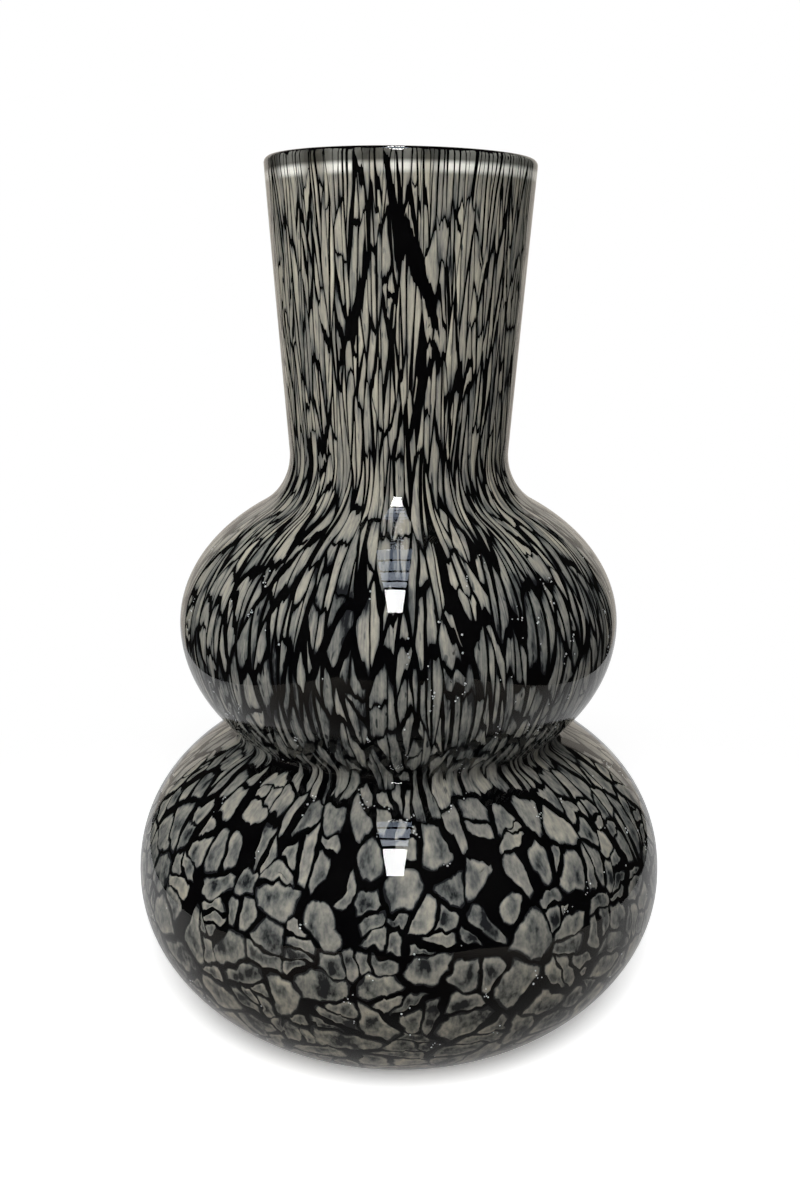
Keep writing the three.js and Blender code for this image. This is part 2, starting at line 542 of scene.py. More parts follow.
@dataclass(frozen=True)
class PaleFlakeGlass:
    """Opal glass rolled on the gather, cracked and blown out.

    It gives the eye matt beige flakes, thin and blue-grey where they tore, with fine streaks drawn
    the way the glass was stretched. Near the lip, light and shade are painted in: a dim band at the top,
    painted shade for the lip's round, and a white ring below it, a painted caustic where the round of
    the lip gathers the light. It lies in clear glass, so it has no gloss of its own.
    """

    rim_mm: float
    thick: str = "bfb9a7"
    body: str = "a19c8e"
    grey: str = "817f78"
    thin: str = "575957"
    torn: str = "1d1e20"
    cool: str = "f7f6f8"
    cool_patch: Marking = Marking("cool_patch", 9.4, 37.0, 1.0, 1.0, Where.ALL, (0.38, 0.66))
    gather_mm: tuple[float, float] = (8.5, 26.0)
    noise_roughness: float = 0.6
    roughness: float = 0.6
    ior: float = 1.5

    def marked(self, tree: bpy.types.NodeTree, marking: Marking) -> Socket:
        """Lay a marking into the glass, as noise drawn out along the flakes.

        Args:
            tree: the material's tree.
            marking: the marking.

        Returns:
            Its strength.
        """
        across, along = self.gather_mm[0] / marking.breadth, self.gather_mm[1] / marking.length
        gather = add_node(tree, "ShaderNodeAttribute", {"attribute_name": "gather"}).outputs["Vector"]
        place = add_node(tree, "ShaderNodeMapping", values={"Scale": (across, across, along)},
                         links={"Vector": gather}).outputs["Vector"]
        value = add_node(tree, "ShaderNodeTexNoise", values={
            "Scale": 1.0, "Detail": marking.detail, "Roughness": self.noise_roughness,
        }, links={"Vector": place}).outputs["Fac"]
        if marking.comes_in:
            low, high = marking.comes_in
            value = add_node(tree, "ShaderNodeMapRange", {"interpolation_type": "SMOOTHSTEP"},
                             {"From Min": low, "From Max": high}, {"Value": value}).outputs["Result"]
        if marking.where is not Where.ALL:
            where = add_node(tree, "ShaderNodeAttribute", {"attribute_name": marking.where.value})
            value = add_node(tree, "ShaderNodeMath", {"operation": "MULTIPLY"}, None,
                             {0: value, 1: where.outputs["Fac"]}).outputs[0]
        return value

    def make(self) -> bpy.types.Material:
        """Build the material."""
        material, tree, out = blank_material("opal_glass_cracked_and_blown")
        edge, pale = (add_node(tree, "ShaderNodeAttribute", {"attribute_name": name}).outputs["Fac"]
                      for name in ("thin", "tone"))
        for marking in MARKINGS:
            pale = add_node(tree, "ShaderNodeMath", {"operation": "MULTIPLY_ADD"}, {1: marking.amount},
                            {0: self.marked(tree, marking), 2: pale}).outputs[0]
        worn = add_node(tree, "ShaderNodeMath", {"operation": "SUBTRACT"}, None,
                        {0: pale, 1: edge}).outputs[0]
        colour = add_node(tree, "ShaderNodeValToRGB", links={"Fac": worn}, stops=[
            (0.0, linear(self.torn)), (0.2, linear(self.thin)), (0.45, linear(self.grey)),
            (0.7, linear(self.body)), (1.0, linear(self.thick)),
        ]).outputs["Color"]
        colour = add_node(tree, "ShaderNodeMix", {"data_type": "RGBA", "blend_type": "MULTIPLY"},
                          {7: linear(self.cool)},
                          {0: self.marked(tree, self.cool_patch), 6: colour}).outputs[2]
        place = add_node(tree, "ShaderNodeTexCoord").outputs["Object"]
        level = add_node(tree, "ShaderNodeSeparateXYZ", links={0: place}).outputs["Z"]
        # Painted light and shade by level: warm floor bounce towards the foot, a white caustic ring below the
        # lip, and shade at the lip's top
        for zone in PAINTED_LIGHT_ZONES:
            begins, full = ((self.rim_mm - d if zone.from_lip else d) * MM for d in (zone.begins, zone.full))
            share = add_node(tree, "ShaderNodeMapRange", {"interpolation_type": "SMOOTHSTEP"},
                             {"From Min": begins, "From Max": full, "To Max": zone.share},
                             {"Value": level}).outputs["Result"]
            if zone.patch:
                share = add_node(tree, "ShaderNodeMath", {"operation": "MULTIPLY"}, None,
                                 {0: share, 1: self.marked(tree, zone.patch)}).outputs[0]
            colour = add_node(tree, "ShaderNodeMix", {"data_type": "RGBA", "blend_type": zone.blend},
                              {7: linear(zone.tint)}, {0: share, 6: colour}).outputs[2]
        shader = add_node(tree, "ShaderNodeBsdfPrincipled", values={
            "Roughness": self.roughness, "IOR": self.ior, "Specular IOR Level": 0.0,
        }, links={"Base Color": colour})
        tree.links.new(shader.outputs[0], out.inputs["Surface"])
        return material


@dataclass(frozen=True)
class BlackGlass:
    """Black manganese glass, blown.

    Under the casing it gives the eye a deep black with a brown or blue breath in it, and no gloss
    of its own; inside the vase, against the air, it is polished.
    """

    deep: str = "020203"
    breath: str = "070707"
    cloud_mm: float = 18.0
    ior: float = 1.5
    matt: float = 0.5
    polish: float = 0.06
    polished: bool = False

    def make(self) -> bpy.types.Material:
        """Build the material."""
        name = "black_glass_polished_inside" if self.polished else "black_glass_under_casing"
        material, tree, out = blank_material(name)
        place = add_node(tree, "ShaderNodeTexCoord").outputs["Object"]
        cloud = add_node(tree, "ShaderNodeTexNoise",
                         values={"Scale": 1 / (self.cloud_mm * MM), "Detail": 2.0}, links={"Vector": place})
        colour = add_node(tree, "ShaderNodeValToRGB", links={"Fac": cloud.outputs["Fac"]}, stops=[
            (0.35, linear(self.deep)), (0.75, linear(self.breath)),
        ]).outputs["Color"]
        shader = add_node(tree, "ShaderNodeBsdfPrincipled", values={
            "Roughness": self.polish if self.polished else self.matt, "IOR": self.ior,
            "Specular IOR Level": 0.5 if self.polished else 0.0,
        }, links={"Base Color": colour})
        tree.links.new(shader.outputs[0], out.inputs["Surface"])
        return material


@dataclass(frozen=True)
class SeedBubbleGlass:
    """Air seeds caught between the layers when the skin cracked.

    Each gives the eye one bright point, because light turns back inside a bubble; that light is partly
    painted in as a pale base colour, and partly real gloss from the half-metal surface that catches the
    lamps.
    """

    bright: str = "f2f4f5"
    dull: str = "9da3a8"
    vary_mm: float = 1.1
    roughness: float = 0.3
    mirror: float = 0.5

    def make(self) -> bpy.types.Material:
        """Build the material."""
        material, tree, out = blank_material("air_seed_in_glass")
        place = add_node(tree, "ShaderNodeTexCoord").outputs["Object"]
        vary = add_node(tree, "ShaderNodeTexNoise", values={"Scale": 1 / (self.vary_mm * MM)},
                        links={"Vector": place}).outputs["Fac"]
        # Painted reflection: the pale base colour stands in for light turned back inside the bubble
        colour = add_node(tree, "ShaderNodeValToRGB", links={"Fac": vary}, stops=[
            (0.3, linear(self.dull)), (0.6, linear(self.bright)),
        ]).outputs["Color"]
        shader = add_node(tree, "ShaderNodeBsdfPrincipled",
                          values={"Roughness": self.roughness, "Metallic": self.mirror},
                          links={"Base Color": colour})
        tree.links.new(shader.outputs[0], out.inputs["Surface"])
        return material


@dataclass(frozen=True)
class Grain:
    """The crackle at a level of the vase, in millimetres.

    Width and height of a flake; half widths of the channels at the sides and the ends of the plates
    that the skin broke into first; half width of the hair cracks inside those plates; how pale it is;
    how far a flake thins all round and at its two ends; how far torn ends reach.
    """

    level: float
    width: float
    height: float
    side: float
    end: float
    hair: float
    tone: float
    fade: float
    taper: float
    jag: float


GRAINS = (
    Grain(0, 18.0, 14.0, 0.48, 0.48, 0.28, -0.2, 0.44, 0.0, 0.4),
    Grain(25, 19.0, 14.8, 0.72, 0.72, 0.38, -0.27, 0.5, 0.0, 0.6),
    Grain(60, 15.0, 13.6, 1.0, 1.0, 0.48, -0.29, 0.58, 0.02, 0.8),
    Grain(92, 11.4, 14.0, 1.2, 1.3, 0.54, -0.19, 0.58, 0.04, 1.0),
    Grain(108, 9.0, 17.5, 1.5, 2.0, 0.64, -0.07, 0.42, 0.06, 1.5),
    Grain(120, 7.0, 17.0, 1.2, 2.0, 0.56, -0.1, 0.28, 0.1, 2.2),
    Grain(128, 5.2, 15.5, 0.55, 1.5, 0.32, -0.2, 0.3, 0.11, 2.6),
    Grain(142, 5.2, 19.5, 0.45, 1.6, 0.28, -0.19, 0.3, 0.13, 3.0),
    Grain(168, 5.4, 23.0, 0.48, 1.65, 0.3, -0.17, 0.3, 0.14, 3.6),
    Grain(195, 4.8, 24.0, 0.42, 1.65, 0.27, -0.07, 0.3, 0.14, 4.0),
    Grain(212, 3.7, 24.0, 0.32, 1.6, 0.23, 0.02, 0.28, 0.14, 4.0),
    Grain(226, 3.05, 23.5, 0.24, 1.3, 0.2, 0.04, 0.26, 0.13, 4.0),
    Grain(280, 2.85, 23.5, 0.2, 1.1, 0.17, 0.07, 0.24, 0.12, 4.0),
    Grain(340, 2.85, 24.5, 0.18, 1.05, 0.15, 0.07, 0.24, 0.12, 4.0),
)


@dataclass(frozen=True)
class Tear:
    """A place where the skin tore open, as a line on the vase.

    Each point has its angle round the axis from the front, in degrees and positive to the right, its
    level in millimetres and half the tear's width there.
    """

    name: str
    line: tuple[tuple[float, float, float], ...]


TEARS = (
    Tear("neck_long", ((-6, 335, 0.5), (-2, 317, 1.6), (3, 308, 2.9), (9, 296, 2.5), (15, 286, 1.2),
                       (17, 278, 0.5))),
    Tear("neck_left", ((-19, 336, 0.7), (-13, 321, 1.1), (-13, 306, 0.8), (-20, 286, 1.6), (-30, 262, 0.7))),
    Tear("neck_low_right", ((17, 268, 0.8), (12, 260, 2.0), (8, 255, 1.6), (5, 247, 0.8))),
    Tear("neck_far_right", ((34, 269, 1.2), (31, 265, 1.9), (25, 258, 1.0))),
    Tear("neck_low_left", ((-36, 250, 1.0), (-40, 243, 2.0), (-44, 237, 1.0))),
    Tear("crown_middle", ((-11, 206, 1.2), (-10, 194, 2.0))),
    Tear("crown_right", ((13, 214, 1.2), (13, 199, 1.5))),
    Tear("crown_left", ((-40, 196, 1.3), (-32, 189, 1.8))),
    Tear("waist_right", ((12, 191, 1.6), (15, 184, 2.2), (16, 175, 1.5))),
    Tear("waist_middle", ((-5, 175, 1.5), (4, 182, 1.5))),
    Tear("waist_left", ((-28, 180, 1.2), (-24, 174, 1.5))),
    Tear("belly_middle", ((5, 118, 0.7), (5, 109, 0.8), (6, 97, 1.1), (3, 88, 1.0), (2, 77, 1.0),
                          (1, 66, 0.8))),
    Tear("belly_right", ((25, 117, 0.7), (23, 106, 0.8), (23, 95, 1.0), (21, 77, 0.9), (19, 66, 0.8),
                         (16, 58, 0.7))),
    Tear("belly_far_right", ((39, 115, 0.7), (36, 103, 0.9), (34, 90, 1.0), (32, 77, 0.9), (30, 65, 0.8),
                             (25, 57, 0.8), (22, 47, 0.7))),
    Tear("belly_bridge", ((4, 86, 0.8), (17, 84, 1.2), (21, 77, 0.8))),
    Tear("belly_bridge_right", ((25, 96, 1.0), (32, 91, 1.4), (48, 82, 1.0))),
    Tear("belly_bridge_low", ((3, 63, 0.6), (8, 61, 0.7), (15, 59, 0.7))),
    Tear("belly_left", ((-14, 109, 0.8), (-6, 105, 1.1), (-3, 96, 1.2), (-2, 87, 0.8))),
    Tear("belly_bridge_left", ((-18, 95, 1.1), (-4, 97, 1.4))),
    Tear("belly_far_left", ((-23, 101, 0.8), (-20, 89, 1.0), (-22, 79, 0.8))),
    Tear("shoulder_left", ((-46, 106, 1.1), (-57, 114, 1.2))),
)


@dataclass(frozen=True)
class Flake:
    """One flake: its edge round its plate's middle in flake units, and where that middle is.

    With it go how much paler it is than others and how far its upper and its lower end thin out.
    """

    angle: float
    row: float
    edge: Points
    shade: float
    upper: float
    lower: float


@dataclass(frozen=True)
class Seed:
    """The middle of a plate: its angle, row and size, and the tear it banks, with its side and half width.

    Its key, which starts its own random draws, is its bulb's seed and its number there.
    """

    angle: float
    row: float
    size: float
    tear: int = -1
    side: int = 0
    half: float = 0.0
    key: tuple[int, int] = (0, 0)


@dataclass(frozen=True)
class PlateLay:
    """How the middles of the plates lie, in flake units, with crumbs here and there between plates.

    A pair is the value on slivers and what plates add to it. Then come the plates on a tear's banks:
    their step along it, how far that varies, how far they stand off, their size and least spacing.
    """

    tries: int = 16
    room: Graded = (0.95, 0.15)
    more_room: Graded = (0.9, 0.3)
    room_power: float = 1.3
    row_jitter: float = 0.01
    crumb: tuple[float, float] = (0.42, 0.68)
    crumb_share: float = 0.27
    crumb_gap: float = 0.45
    bank_step: float = 1.25
    bank_jitter: float = 0.15
    bank_off: float = 0.6
    bank_size: float = 1.2
    bank_apart: float = 0.6


@dataclass(frozen=True)
class CrackRule:
    """How the skin parts, in flake units; a pair is the value on slivers and what plates add to it.

    Between plates: which others part one from it, how much wider than usual a crack may be, the
    logarithm of its usual width with the scatter of that, its lean, and how far a large plate pushes it.
    Inside plates: the smallest flake, the areas between which splitting stops, how much a tall plate
    resists an upright crack, the leans of upright and level cracks, where they run, and their wedge.
    """

    neighbours: int = 30
    reach: float = 6.0
    box: float = 4.0
    widest: Graded = (1.6, 0.7)
    usual: Graded = (-0.1, -0.2)
    scatter: Graded = (0.5, 0.3)
    lean: float = 0.16
    push: float = 0.16
    smallest: float = 0.03
    small: Graded = (0.3, -0.08)
    large: Graded = (1.15, 0.25)
    resists: Graded = (0.8, 0.2)
    upright_lean: Graded = (0.34, -0.12)
    level_lean: Graded = (0.55, -0.2)
    runs_from: float = 0.3
    runs_to: float = 0.7
    runs_to_at_lip: float = 0.45
    lip_touch: float = 0.01
    level_share: float = 0.5
    wedge: tuple[float, float] = (0.1, 1.9)
    lost: float = 0.006
    shade: float = 0.05
    edge_step: float = 0.11
    tear_marks: tuple[int, int] = (21, 7)
    tear_reach: float = 0.9


@dataclass(frozen=True)
class Flow:
    """How far the skin flowed after it cracked, in flake units, and how quickly each of its noises changes.

    A pair is the value on slivers and what plates add to it. A fringe's two rates are across and along.
    The seed starts Blender's vector noise, which would start from the clock without one.
    """

    seed: int = 1795790185
    rough: Graded = (0.07, 0.045)
    still_ends: float = 0.3
    slow: tuple[float, float] = (0.3, 0.24)
    slow_rate: float = 0.5
    quick_rate: float = 2.4
    quick_from: tuple[float, float, float] = (9.0, 4.0, 2.0)
    fine_rate: float = 5.6
    fine_from: tuple[float, float, float] = (3.0, 7.0, 5.0)
    fine_share: float = 0.45
    fringe_rates: tuple[float, float] = (2.9, 0.7)
    frayed_rates: tuple[float, float] = (7.3, 0.9)
    frayed_share: float = 0.5


@dataclass(frozen=True)
class CushionRing:
    """A ring of a flake's cushion: its size and lift, how thin slivers and plates are there.

    On plates it is narrower by the last value.
    """

    size: float
    lift: float
    sliver: float
    plate: float
    narrower: float


CUSHION = (
    CushionRing(1.0, 0.0, 1.0, 1.0, 0.0),
    CushionRing(0.9, 0.7, 0.42, -0.14, 0.05),
    CushionRing(0.77, 1.0, 0.12, -0.1, 0.08),
    CushionRing(0.45, 1.0, 0.0, 0.16, 0.0),
)

FLAKE_PIECES = (
    ("neck_flakes", 216.0, 999.0),
    ("upper_bulb_flakes", 126.5, 216.0),
    ("lower_bulb_flakes", -1.0, 126.5),
)


@dataclass
class CrackleSkin:
    """The pale skin, as single flakes over the black glass.

    Each bulb has its own seed. Levels and depths are in millimetres; the corners' rounding goes by level.
    """

    outline: Outline
    trace: Trace
    seed: int = 26
    lower_seed: int = 5
    fold_mm: float = 125.0
    foot_mm: float = 1.5
    below_lip_mm: float = 0.3
    depth_mm: float = 2.65
    lip_depth_mm: float = 1.3
    lip_zone_mm: tuple[float, float] = (4.0, 12.0)
    thick_mm: float = 0.35
    sunk_mm: float = 0.02
    spread: float = 10.0
    stations: int = 900
    plates_below: float = 112.0
    slivers_above: float = 128.0
    crumbs_above: float = 38.0
    rounding: tuple[tuple[float, float], ...] = ((110.0, 0.12), (135.0, 0.09), (200.0, 0.09), (235.0, 0.07))
    middle_thin: float = 0.2
    ends_from: float = 0.35
    lay: PlateLay = PlateLay()
    rule: CrackRule = CrackRule()
    flow: Flow = Flow()
    crumbs_from: float = field(init=False)
    rows: Points = field(init=False)
    runs: Points = field(init=False)
    per_turn: Points = field(init=False)
    flakes: list[Flake] = field(init=False)

    def __post_init__(self) -> None:
        """Lay out how flake rows and flake widths run along the outside, and crack the skin."""
        noise.seed_set(self.flow.seed)
        top = self.trace.run[-1] - self.below_lip_mm
        self.runs = np.linspace(self.trace.run_at(self.foot_mm), top, self.stations)
        self.crumbs_from = self.trace.run_at(self.crumbs_above)
        height = self.along(self.runs, "height")
        step = np.diff(self.runs)
        self.rows = np.concatenate([[0], np.cumsum(step / ((height[1:] + height[:-1]) / 2))])
        self.rows -= np.interp(self.trace.run_at(self.fold_mm), self.runs, self.rows)
        radius = np.interp(self.runs, self.trace.run, self.trace.r)
        self.per_turn = radius / self.along(self.runs, "width")
        self.flakes = self.crack_out()

    def along(self, run: Points, what: str) -> Points:
        """Read a flake size at lengths along the outside.

        Args:
            run: lengths along the outside.
            what: the name of a Grain field.

        Returns:
            The sizes.
        """
        level = np.interp(run, self.trace.run, self.trace.z)
        return np.interp(level, [g.level for g in GRAINS], [getattr(g, what) for g in GRAINS])

    def platy(self, run: Points) -> Points:
        """How far the skin breaks in plates, from 1 on the lower bulb to 0 where it breaks in slivers."""
        level = np.interp(run, self.trace.run, self.trace.z)
        return np.clip((self.slivers_above - level) / (self.slivers_above - self.plates_below), 0, 1)

    def under(self, run: Points) -> Points:
        """Depth of the black glass below the outside, less near the lip."""
        from_top = self.trace.run[-1] - run
        begins, over = self.lip_zone_mm
        blend = np.clip((from_top - begins) / over, 0, 1)
        return self.lip_depth_mm + (self.depth_mm - self.lip_depth_mm) * blend * blend * (3 - 2 * blend)

    def tear_line(self, tear: Tear) -> Points:
        """Give a tear's points as angle, row and half width in millimetres."""
        return np.array([
            (math.radians(degrees) - math.pi / 2,
             np.interp(self.trace.run_at(level), self.runs, self.rows), half)
            for degrees, level, half in tear.line
        ])

    def bank(self, rng: np.random.Generator) -> list[Seed]:
        """Set plates along both banks of each tear of the lower bulb, so that the skin parts there.

        Args:
            rng: the random source.

        Returns:
            The plates' middles.
        """
        lay = self.lay
        seeds: list[Seed] = []
        for number, tear in enumerate(TEARS):
            line = self.tear_line(tear)
            if tear.line[0][1] > self.slivers_above:
                continue
            rate = np.interp(line[:, 1], self.rows, self.per_turn)
            scale = np.stack([(rate[1:] + rate[:-1]) / 2, np.ones(len(rate) - 1)], axis=-1)
            steps = np.diff(line[:, :2], axis=0) * scale
            length = np.concatenate([[0], np.cumsum(np.hypot(*steps.T))])
            count = max(2, round(length[-1] / lay.bank_step))
            for k in range(count):
                at = (k + 0.5 + rng.uniform(-lay.bank_jitter, lay.bank_jitter)) * length[-1] / count
                leg = min(int(np.searchsorted(length, at, side="right")) - 1, len(steps) - 1)
                way = steps[leg] / np.hypot(*steps[leg])
                angle, row, half = (float(np.interp(at, length, line[:, c])) for c in range(3))
                run = float(np.interp(row, self.rows, self.runs))
                here = float(np.interp(row, self.rows, self.per_turn))
                width, height = (float(self.along(np.array(run), name)) for name in ("width", "height"))
                off = half * self.across(way, width, height) + lay.bank_off
                for side in (-1, 1):
                    place = Seed(angle + side * way[1] * off / here, row - side * way[0] * off,
                                 lay.bank_size, number, side, half)
                    if all(self.gap(place, other) > lay.bank_apart for other in seeds):
                        seeds.append(place)
        return seeds

    def gap(self, a: Seed, b: Seed) -> float:
        """Distance between two plates' middles in flake units."""
        turn_by = (a.angle - b.angle + math.pi) % (2 * math.pi) - math.pi
        rate = float(np.interp((a.row + b.row) / 2, self.rows, self.per_turn))
        return math.hypot(turn_by * rate, a.row - b.row)

    def scatter(self) -> list[Seed]:
        """Throw the middles of the plates with mixed spacing, first above the fold and then below it.

        Below the fold they go round those that bank the tears.

        Returns:
            The plates' middles.
        """
        lay = self.lay
        seeds: list[Seed] = []
        above = self.runs >= self.trace.run_at(self.fold_mm)
        for part, own, banked in ((above, self.seed, False), (~above, self.lower_seed, True)):
            part = np.flatnonzero(part)
            rng = np.random.default_rng(own)
            first = len(seeds)
            seeds += self.bank(rng) if banked else []
            angle, row, size = self.columns(seeds)
            heavy = np.cumsum(self.per_turn[part])
            area = float(np.sum(self.per_turn[part][1:] * np.diff(self.rows[part])) * 2 * math.pi)
            for _ in range(int(area * lay.tries)):
                pick = part[int(np.searchsorted(heavy, rng.random() * heavy[-1]))]
                y = float(self.rows[pick] + rng.uniform(-lay.row_jitter, lay.row_jitter))
                t = float(rng.uniform(-math.pi, math.pi))
                platy = float(self.platy(self.runs[pick]))
                more = float(rng.random()) ** lay.room_power
                r = graded(lay.room, platy) + graded(lay.more_room, platy) * more
                if rng.random() < lay.crumb_share * platy and self.runs[pick] > self.crumbs_from:
                    r = float(rng.uniform(*lay.crumb))
                dt = (angle - t + math.pi) % (2 * math.pi) - math.pi
                gap = np.hypot(dt * np.interp((row + y) / 2, self.rows, self.per_turn), row - y)
                if np.any(gap < (size + r) / 2):
                    continue
                seeds.append(Seed(t, y, r))
                angle, row, size = np.append(angle, t), np.append(row, y), np.append(size, r)
            seeds[first:] = [replace(s, key=(own, k)) for k, s in enumerate(seeds[first:])]
        return seeds

    @staticmethod
    def columns(seeds: list[Seed]) -> list[Points]:
        """Give the angles, the rows and the sizes of plates."""
        return [np.array([getattr(s, name) for s in seeds]) for name in ("angle", "row", "size")]

    def crack_out(self) -> list[Flake]:
        """Break the skin into plates, and the plates into flakes.

        Returns:
            The flakes of the whole vase.
        """
        rule = self.rule
        seeds = self.scatter()
        angle, row, size = self.columns(seeds)
        run = np.interp(row, self.rows, self.runs)
        rate = np.interp(row, self.rows, self.per_turn)
        width, height, side, end, hair = (
            self.along(run, name) for name in ("width", "height", "side", "end", "hair"))
        platy = self.platy(run)
        levels, shares = zip(*self.rounding)
        round_by = np.interp(run, [self.trace.run_at(z) for z in levels], shares)
        flakes = []
        for i, seed in enumerate(seeds):
            dt = (angle - angle[i] + math.pi) % (2 * math.pi) - math.pi
            dx, dy = dt * (rate + rate[i]) / 2, row - row[i]
            gap = np.hypot(dx, dy)
            box = rule.box
            plate = [np.array(p) for p in ((-box, -box), (box, -box), (box, box), (-box, box))]
            for j in [j for j in np.argsort(gap)[1:rule.neighbours] if gap[j] < rule.reach]:
                other = seeds[j]
                n = np.array([dx[j], dy[j]]) / gap[j]
                if seed.tear >= 0 and seed.tear == other.tear and seed.side != other.side:
                    way = np.array([-n[1], n[0]])
                    half = (seed.half + other.half) / 2 * self.across(way, width[i], height[i])
                else:
                    pair = np.random.default_rng(sum(sorted((seed.key, other.key)), ()))
                    usual = pair.normal(graded(rule.usual, platy[i]), graded(rule.scatter, platy[i]))
                    bold = min(graded(rule.widest, platy[i]), math.exp(usual))
                    bold *= self.lay.crumb_gap if min(size[i], size[j]) < self.lay.crumb[1] else 1.0
                    lean = pair.uniform(-rule.lean, rule.lean)
                    n = np.array([n[0] * math.cos(lean) - n[1] * math.sin(lean),
                                  n[0] * math.sin(lean) + n[1] * math.cos(lean)])
                    half = (abs(n[0]) * side[i] / width[i] + abs(n[1]) * end[i] / height[i]) * bold
                push = rule.push * (size[i] ** 2 - size[j] ** 2)
                plate = self.cut(plate, n, (gap[j] ** 2 + push) / (2 * gap[j]) - half)
            plate = self.cut(plate, np.array([0.0, 1.0]), self.rows[-1] - row[i])
            plate = self.cut(plate, np.array([0.0, -1.0]), row[i] - self.rows[0])
            rng = np.random.default_rng(seed.key)
            shade = float(rng.normal(0, rule.shade))
            to_lip = self.rows[-1] - row[i]
            for whole in self.split(plate, width[i], height[i], hair[i], end[i], platy[i], to_lip, rng):
                for part in self.torn_apart(whole, angle[i], row[i], rate[i], width[i], height[i]):
                    own = shade + float(rng.normal(0, rule.shade))
                    if rng.random() < rule.lost * (1 - platy[i]):
                        continue
                    points = self.soften(np.array(part), round_by[i], rule.edge_step)
                    upper, lower = float(rng.random()), float(rng.random())
                    flakes.append(Flake(angle[i], row[i], points, own, upper, lower))
        return flakes

    def torn_apart(self, flake: list[Points], angle: float, row: float, rate: float, width: float,
                   height: float) -> list[list[Points]]:
        """Split a sliver where tears of the neck and the upper bulb cross it.

        Args:
            flake: its corners round its plate's middle, in flake widths and heights.
            angle: angle of that middle.
            row: row of that middle.
            rate: flake widths in a radian there.
            width: flake width there, in millimetres.
            height: flake height there, in millimetres.

        Returns:
            The corners of each part that is left.
        """
        parts = [flake]
        low, high = np.min(flake, axis=0), np.max(flake, axis=0)
        for tear in TEARS:
            if tear.line[0][1] < self.slivers_above:
                continue
            line = self.tear_line(tear)
            off = (line[:, 0] - angle + math.pi) % (2 * math.pi) - math.pi
            places = np.stack([off * rate, line[:, 1] - row], axis=-1)
            halves = line[:, 2]
            for a, b, half_a, half_b in zip(places, places[1:], halves, halves[1:]):
                scale = self.across(b - a, width, height)
                room = max(half_a, half_b) * scale
                if np.any(np.minimum(a, b) - room > high) or np.any(np.maximum(a, b) + room < low):
                    continue
                square = np.array([b[1] - a[1], a[0] - b[0]]) / np.hypot(*(b - a)) * scale
                long, broad = self.rule.tear_marks
                off_line = np.linspace(-self.rule.tear_reach, self.rule.tear_reach, broad)
                marks = [a + (b - a) * t + square * s * (half_a + (half_b - half_a) * t)
                         for t in np.linspace(0, 1, long) for s in off_line]
                left = []
                for part in parts:
                    crossed = any(self.holds(part, m) for m in marks)
                    left += self.crack(part, a, b, half_a * scale, half_b * scale) if crossed else [part]
                parts = left
        return [part for part in parts if self.area(part) > self.rule.smallest]

    def split(self, plate: list[Points], width: float, height: float, hair: float, end: float,
              platy: float, top: float, rng: np.random.Generator) -> list[list[Points]]:
        """Break a plate by hair cracks until its parts are small enough.

        Args:
            plate: its corners, in flake widths and heights.
            width: flake width there, in millimetres.
            height: flake height there, in millimetres.
            hair: half width of an upright crack, in millimetres.
            end: half width of a channel at the plates' ends, in millimetres.
            platy: 1 for plates, 0 for slivers.
            top: the lip, in rows above the plate's middle.
            rng: the random source.

        Returns:
            The corners of each flake.
        """
        rule = self.rule
        todo, done = [plate], []
        while todo:
            part = todo.pop()
            if self.area(part) < rule.smallest:
                continue
            if self.area(part) < rng.uniform(graded(rule.small, platy), graded(rule.large, platy)):
                done.append(part)
                continue
            corners = np.array(part)
            wide, tall = np.ptp(corners, axis=0)
            upright = rng.random() < wide ** 2 / (wide ** 2 + graded(rule.resists, platy) * tall ** 2)
            at_lip = corners[:, 1].max() > top - rule.lip_touch
            if upright:
                lean = rng.normal(0, graded(rule.upright_lean, platy))
            else:
                lean = rng.normal(math.pi / 2, graded(rule.level_lean, platy))
            along = np.array([-math.sin(lean), math.cos(lean)])
            normal = np.array([math.cos(lean), math.sin(lean)])
            far = corners @ normal
            runs_to = rule.runs_to_at_lip if at_lip and not upright else rule.runs_to
            at = far.min() + (far.max() - far.min()) * rng.uniform(rule.runs_from, runs_to)
            reach = corners @ along
            a, b = (normal * at + along * s for s in (reach.min(), reach.max()))
            level = rule.level_share * end * (1 - platy) + hair * platy
            half = (hair * abs(along[1]) + level * abs(along[0])) * self.across(along, width, height)
            todo += self.crack(part, a, b, half * rng.uniform(*rule.wedge), half * rng.uniform(*rule.wedge))
        return done

    @staticmethod
    def across(way: Points, width: float, height: float) -> float:
        """How many flake units one millimetre square to a direction is.

        Args:
            way: the direction, in flake widths and heights.
            width: flake width, in millimetres.
            height: flake height, in millimetres.

        Returns:
            The units in a millimetre, measured square to the direction in flake units.
        """
        x, y = way / np.hypot(*way)
        return (y * y * height / width + x * x * width / height) / math.hypot(x * width, y * height)

    def crack(self, part: list[Points], a: Points, b: Points, half_a: float,
              half_b: float) -> list[list[Points]]:
        """Part a plate along a crack that widens from one place to another.

        Args:
            part: its corners.
            a: one place on the crack.
            b: another.
            half_a: half the crack's width at the first.
            half_b: half its width at the second.

        Returns:
            What is left on both sides.
        """
        length = float(np.linalg.norm(b - a))
        along = (b - a) / length
        square = np.array([along[1], -along[0]])
        sides = []
        for sign in (1, -1):
            normal = sign * square * length + along * (half_b - half_a)
            normal = normal / np.linalg.norm(normal)
            left = self.cut(part, normal, float(np.dot(normal, a - sign * square * half_a)))
            if len(left) > 2:
                sides.append(left)
        return sides

    @staticmethod
    def area(edge: list[Points]) -> float:
        """Area inside an edge."""
        p = np.array(edge)
        q = np.roll(p, -1, axis=0)
        return abs(float(np.sum(p[:, 0] * q[:, 1] - q[:, 0] * p[:, 1]))) / 2

